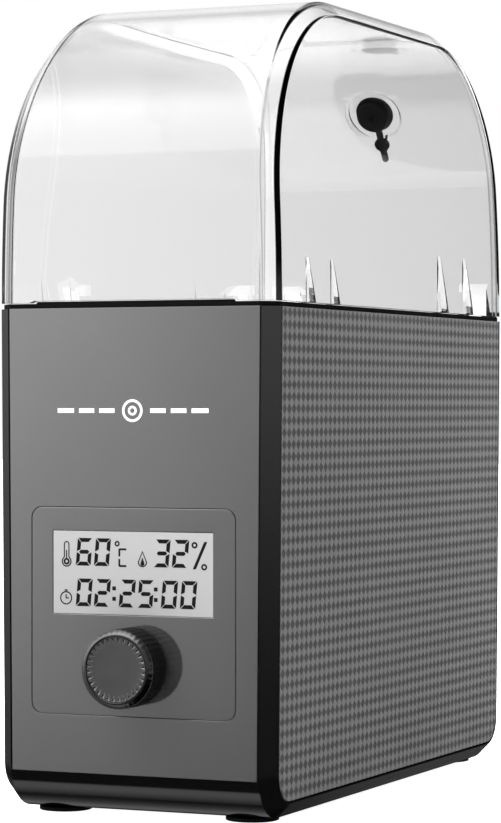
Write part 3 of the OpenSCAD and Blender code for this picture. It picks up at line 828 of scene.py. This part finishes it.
def lid_knuckles():
    """Webs from the lid's rear wall down to the hinge pins."""
    bm = bmesh.new()
    top = LID_Z + 12 * mm
    web = [(REAR_Y - 1.5 * mm, LID_Z + 1 * mm), (REAR_Y - 1.5 * mm, top), (REAR_Y, top),
           (HINGE_Y + 2.6 * mm, HINGE_Z + 1.9 * mm), (HINGE_Y, HINGE_Z), (REAR_Y + 0.5 * mm, LID_Z)]
    for side in (-1, 1):
        start = side * HINGE_X - KNUCKLE_W / 2
        low = [bm.verts.new((start, y, z)) for y, z in web]
        high = [bm.verts.new((start + KNUCKLE_W, y, z)) for y, z in web]
        bm.faces.new(low)
        bm.faces.new(high[::-1])
        join_rings(bm, [low, high])
    return mesh_object("lid_knuckle_webs", bm)


def lid_knuckle_rolls():
    bm = bmesh.new()
    for side in (-1, 1):
        rod_x(bm, side * HINGE_X - KNUCKLE_W / 2, HINGE_Y, HINGE_Z, KNUCKLE_R, KNUCKLE_W)
    return mesh_object("lid_knuckle_rolls", bm)


def lid_recess():
    """The flat recess round the port, cut from outside."""
    bm = bmesh.new()
    cutter_l = 5 * mm
    recess_floor = -1 * mm
    prism(bm, circle(PORT_RECESS_R, 96), cutter_l, port_place() @ Matrix.Translation((0, 0, recess_floor)))
    return mesh_object("lid_recess", bm)


def lid_holes():
    """The port's hole and the bores of the hinge pins."""
    bm = bmesh.new()
    bore_l = 24 * mm
    hole_l = 10 * mm
    hole_start = -8 * mm
    prism(bm, circle(PORT_HOLE_R, 64), hole_l, port_place() @ Matrix.Translation((0, 0, hole_start)))
    for side in (-1, 1):
        rod_x(bm, side * HINGE_X - bore_l / 2, HINGE_Y, HINGE_Z, HINGE_BORE_R, bore_l)
    return mesh_object("lid_holes", bm)


def combine(piece, others, operation):
    """Adds or cuts other closed meshes, and removes them from the scene."""
    for other in others:
        bpy.context.scene.collection.objects.link(other)
        applied(piece, ("BOOLEAN", {"operation": operation, "object": other, "solver": "EXACT"}))
        bpy.data.objects.remove(other)
    return piece


def make_lid():
    bm = bmesh.new()
    outer = lid_skin(bm, 0, CHAMFER)
    inner = lid_skin(bm, LID_WALL, CHAMFER - 2 * mm)
    join_rings(bm, [outer, inner])
    lid = mesh_object("clear_lid", bm)
    combine(lid, [lid_additions(), lid_knuckles(), lid_knuckle_rolls()], "UNION")
    combine(lid, [lid_recess(), lid_holes()], "DIFFERENCE")
    return finish_piece(lid, "lid", "clear_plastic", ["lid_shell"])


make_lid()


# ---- Side panels ----

def panel_outline(inset, top, steps=12):
    """Side view of the base below the rim, as (y, height above the rim), anticlockwise."""
    radius = PANEL_CORNER_R
    reach = radius - inset
    centre_z = PANEL_LOW_Z - RIM_Z + radius
    points = [(FRONT_Y + inset, top)]
    for centre_y, start in ((FRONT_Y + radius, 180), (REAR_Y - radius, 270)):
        for k in range(steps + 1):
            a = math.radians(start + 90 * k / steps)
            points.append((centre_y + reach * math.cos(a), centre_z + reach * math.sin(a)))
    return points + [(REAR_Y - inset, top)]


def woven_grid(bm, low):
    """A sheet of low diamonds from the rim down past low, a little inside the panel's outer face."""
    step = WEAVE / 4
    swell = 0.11 * mm
    sunk = 0.03 * mm
    grid = []
    for r in range(int(-low / step) + 3):
        row = []
        for c in range(int((DEPTH - 2 * CHAMFER) / step) + 3):
            y = FRONT_Y + CHAMFER + c * step
            z = -r * step
            wave = math.cos((y - MID_Y) * math.tau / WEAVE) + math.cos(z * math.tau / WEAVE)
            row.append(bm.verts.new((swell * (wave / 2 - 1) - sunk, y, z)))
        grid.append(row)
    strip_faces(bm, grid)


def trim_outside(bm, outline, middle):
    """Cuts a sheet off along every edge of an outline round the middle."""
    for (y0, z0), (y1, z1) in zip(outline, outline[1:] + outline[:1]):
        outwards = Vector((0, z1 - z0, y0 - y1))
        if outwards.dot(middle - Vector((0, y0, z0))) > 0:
            outwards = -outwards
        sheet = bm.verts[:] + bm.edges[:] + bm.faces[:]
        bmesh.ops.bisect_plane(bm, geom=sheet, plane_co=(0, y0, z0), plane_no=outwards, clear_outer=True,
                               dist=1e-7)


def open_edges(bm):
    return [e for e in bm.edges if len(e.link_faces) == 1]


def make_side_panel(side, node):
    """Panel with a woven relief of low diamonds. Its highest points lie just inside the outer face."""
    outline = panel_outline(PANEL_INSET, -0.1 * mm)
    bm = bmesh.new()
    woven_grid(bm, min(z for _, z in outline))
    trim_outside(bm, outline, Vector((0, MID_Y, -RIM_Z / 2)))
    walls = bmesh.ops.extrude_edge_only(bm, edges=open_edges(bm))["geom"]
    for v in (g for g in walls if isinstance(g, bmesh.types.BMVert)):
        v.co.x = -PANEL_BACK
    bmesh.ops.contextual_create(bm, geom=open_edges(bm))
    place = Matrix.Translation((side * HALF_W, 0, RIM_Z)) @ Matrix.Rotation(side * SIDE_DRAFT, 4, "Y")
    if side < 0:
        place = place @ Matrix.Scale(-1, 4, (1, 0, 0))
    bm.transform(place)
    return finish_piece(mesh_object(node + "_weave", bm), "base", "woven_grey", [node], smooth_angle=50)


make_side_panel(-1, "side_panel_left")
make_side_panel(1, "side_panel_right")


# ---- Knob ----

def knob_place():
    """Frame of the knob: z forwards, with its origin on the knob's front face."""
    return Matrix.Translation((0, KNOB_FRONT_Y, KNOB_Z)) @ Matrix.Rotation(math.radians(90), 4, "X")


def saw(turns):
    """Triangle wave between 0 and 1, once per turn."""
    return abs((turns % 1) * 2 - 1)


def make_knob():
    profile = in_mm(((0, -2.2), (3.03, -2.2), (3.03, -12.5), (13.1, -12.5), (13.7, -12.3), (14, -11.8),
                     (14, -8), (14, -4), (14, -1.35), (13.75, -1.05), (12.5, -0.12), (12.3, 0), (11.8, 0),
                     (11.6, -0.2), (11.6, -1.2), (0, -1.2)))

    def knurl(angle, r, h):
        if r < 13 * mm:
            return r, h
        depth = 0.16 * mm if r > 13.6 * mm else 0.08 * mm
        return r - depth * min(1, 1.5 * saw(angle * KNOB_KNURLS / math.tau)) ** 2, h

    bm = lathed(profile, knob_place(), segments=KNOB_KNURLS * 10, ripple=knurl)
    return finish_piece(mesh_object("knurled_knob", bm), "knob", "matte_black", ["knob"], smooth_angle=35)


def make_knob_cap():
    """Dished cap with triangular grooves round its edge."""
    profile = in_mm(((0, -1.15), (11.4, -1.15), (11.45, -0.3), (11.3, -0.12), (11.1, -0.12), (10.6, -0.2),
                     (10, -0.28), (9.5, -0.34), (9.0, -0.41), (8.2, -0.52), (6.5, -0.68), (4, -0.82),
                     (2, -0.88), (0, -0.9)))

    def serration(angle, r, h):
        if h < -1 * mm or r > CAP_TEETH_R + 0.01 * mm:
            return r, h
        reach = CAP_TEETH_FILL * (r - CAP_TEETH_R + CAP_TEETH_L) / CAP_TEETH_L
        return r, h - 0.3 * mm * max(0, reach - saw(angle * CAP_TEETH / math.tau))

    bm = lathed(profile, knob_place(), segments=CAP_TEETH * 10, ripple=serration)
    cap = mesh_object("toothed_knob_cap", bm)
    return finish_piece(cap, "knob", "knob_cap_black", ["knob_cap"], smooth_angle=25)


make_knob()
make_knob_cap()


# ---- Printed shapes ----

SEGMENTS = {"0": "abcdef", "2": "abged", "3": "abgcd", "5": "afgcd", "6": "afgedc"}
DIGIT_W = 5.9 * mm
DIGIT_H = 9.8 * mm
DIGIT_STROKE = 1.4 * mm
DIGIT_LEAN = 0.09
UPPER_ROW_Z = LCD_Z + 2.4 * mm
LOWER_ROW_Z = LCD_Z - 12 * mm
# Figures with their left edges, in millimetres from the middle of the width
UPPER_ROW = (("6", -22.4), ("0", -15.2), ("3", 8.1), ("2", 15.3))
LOWER_ROW = (("0", -22.4), ("2", -15.2), ("2", -5.4), ("5", 1.8), ("0", 11.0), ("0", 18.4))
COLONS_X = (-7.9, 8.4)
COLON_HEIGHTS = (2.2, 5.9)

# Signs beside the figures, in millimetres from the middle of the display's height.
# Rings: x, height, outer radius, inner radius, first and last angle
SIGN_RINGS = (
    (-6.0, 10.4, 1.0, 0.45, 0, 360),     # degree sign
    (24.1, 10.4, 1.15, 0.5, 0, 360),     # percent sign
    (27.8, 2.8, 1.15, 0.5, 0, 360),
    (-26.0, 3.8, 1.95, 1.5, 122, 418),   # thermometer
    (-26.0, 3.8, 1.2, 0.5, 0, 360),
    (-26.0, 9.9, 1.1, 0.68, 0, 180),
    (3.9, 4.1, 1.8, 1.35, 180, 360),     # drop
    (3.9, 3.6, 0.8, 0.05, 180, 360),
    (-26.2, -9.2, 2.4, 1.95, 0, 360),    # stopwatch
)
# Bars: left, low, width, height
SIGN_BARS = (
    (-5.5, 2.4, 0.7, 2.6), (-5.5, 5.9, 0.7, 2.6), (-5.2, 2.2, 2.8, 0.7), (-5.2, 8.1, 2.8, 0.7),  # unit
    (-27.1, 5.3, 0.42, 4.6), (-25.3, 5.3, 0.42, 4.6), (-26.22, 4.8, 0.44, 3.0),   # thermometer
    (-26.42, -9.2, 0.44, 1.3), (-26.42, -9.45, 1.3, 0.44), (-26.8, -6.7, 1.2, 0.5),   # stopwatch
)
SIGN_OUTLINES = (
    ((23.4, 2.0), (24.6, 2.0), (29.0, 11.6), (27.8, 11.6)),   # percent sign
    ((2.1, 4.1), (2.55, 4.1), (3.9, 7.4), (3.9, 8.1)),        # drop
    ((5.7, 4.1), (5.25, 4.1), (3.9, 7.4), (3.9, 8.1)),
    ((3.1, 3.6), (4.7, 3.6), (3.9, 5.8)),
)


def segment_outlines(width, height, thick):
    """Outlines of the seven segments of a figure, from its lower left corner."""
    gap = 0.16 * mm
    half = height / 2
    slant = gap + thick * 0.5

    def level(y, slant_low, slant_high):
        left, right = gap, width - gap
        return [(left + slant_low, y), (right - slant_low, y), (right - slant_high, y + thick),
                (left + slant_high, y + thick)]

    def upright(x_out, x_in, low, high, low_in, high_in):
        return [(x_out, low), (x_in, low_in), (x_in, high_in), (x_out, high)]

    upper = (half + gap, height - gap, half + slant, height - gap - thick)
    lower = (gap, half - gap, gap + thick, half - slant)
    left, right = gap + thick, width - gap - thick
    middle = [(gap + thick * 0.55, half), (left, half + thick / 2), (right, half + thick / 2),
              (width - gap - thick * 0.55, half), (right, half - thick / 2), (left, half - thick / 2)]
    return {
        "a": level(height - thick, thick, 0.1 * thick),
        "d": level(0, 0.1 * thick, thick),
        "g": middle,
        "f": upright(0, thick, *upper),
        "e": upright(0, thick, *lower),
        "b": upright(width, width - thick, *upper),
        "c": upright(width, width - thick, *lower),
    }


def ring_sector(centre, r_out, r_in, start, end):
    """Outline of one short step of a ring, between two angles in degrees."""
    def point(r, degrees):
        a = math.radians(degrees)
        return (centre[0] + r * math.cos(a), centre[1] + r * math.sin(a))
    return [point(r_out, start), point(r_out, end), point(r_in, end), point(r_in, start)]


class Print:
    """Thin raised shapes on a plane that faces forwards."""

    def __init__(self, face_y, thickness):
        self.bm = bmesh.new()
        self.thickness = thickness
        self.place = Matrix.Translation((0, face_y, 0)) @ Matrix.Rotation(math.radians(90), 4, "X")

    def shape(self, points):
        area = sum(a[0] * b[1] - b[0] * a[1] for a, b in zip(points, points[1:] + points[:1]))
        prism(self.bm, points if area > 0 else points[::-1], self.thickness, self.place)

    def bar(self, left, low, width, height):
        self.shape([(left, low), (left + width, low), (left + width, low + height), (left, low + height)])

    def ring(self, x, z, r_out, r_in, start=0, end=360, steps=28):
        for k in range(steps):
            first = start + (end - start) * k / steps
            last = start + (end - start) * (k + 1) / steps
            self.shape(ring_sector((x, z), r_out, r_in, first, last))

    def digit(self, character, x, z):
        """A leaning seven-segment figure with its lower left corner at x and z."""
        for name, outline in segment_outlines(DIGIT_W, DIGIT_H, DIGIT_STROKE).items():
            if name in SEGMENTS[character]:
                self.shape([(x + px + DIGIT_LEAN * pz, z + pz) for px, pz in outline])


def make_display_figures():
    """Readings of temperature, humidity and time left, printed in raised ink on the display."""
    rooted = 0.02 * mm
    ink = Print(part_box("lcd_window")[0].y + rooted, thickness=0.06 * mm)
    for row, z in ((UPPER_ROW, UPPER_ROW_Z), (LOWER_ROW, LOWER_ROW_Z)):
        for character, x in row:
            ink.digit(character, x * mm, z)
    for x in COLONS_X:
        for height in COLON_HEIGHTS:
            ink.bar(x * mm, LOWER_ROW_Z + height * mm, DIGIT_STROKE, DIGIT_STROKE)
    for x, z, r_out, r_in, start, end in SIGN_RINGS:
        ink.ring(x * mm, LCD_Z + z * mm, r_out * mm, r_in * mm, start, end)
    for left, low, width, height in SIGN_BARS:
        ink.bar(left * mm, LCD_Z + low * mm, width * mm, height * mm)
    for outline in SIGN_OUTLINES:
        ink.shape([(x * mm, LCD_Z + z * mm) for x, z in outline])
    return finish_piece(mesh_object("display_figures", ink.bm), "base", "matte_black")


def make_front_mark():
    """A plain row of bars beside two rings, in place of lettering."""
    ink = Print(FRONT_Y, thickness=0.04 * mm)
    centre_z = 144.6 * mm
    bar_h = 1.6 * mm
    for r_out, r_in in ((4.0, 3.1), (1.7, 0.9)):
        ink.ring(0, centre_z, r_out * mm, r_in * mm)
    for side in (-1, 1):
        for start, end in ((7, 13), (15, 21), (23, 29.5)):
            left = min(side * start, side * end)
            ink.bar(left * mm, centre_z - bar_h / 2, (end - start) * mm, bar_h)
    return finish_piece(mesh_object("front_mark", ink.bm), "base", "display_white")


make_display_figures()
make_front_mark()


# ---- Other pieces: CAD shapes with softened edges ----

# Width of the rounding on the edges of each piece, in millimetres
SOFT_EDGES = {
    "base_shell": 0.14, "front_panel": 0.2, "control_bezel": 0.2, "rim_gasket": 0.3, "lcd_window": 0.1,
    "bottom_cover": 0.3, "feet": 0.3, "chamber_liner": 0.5, "bracket_left": 0.4, "bracket_right": 0.4,
    "port_stopper": 0.25, "port_grommet": 0.25, "dc_jack": 0.3,
}
for part, width in SOFT_EDGES.items():
    softened(part, width * mm)
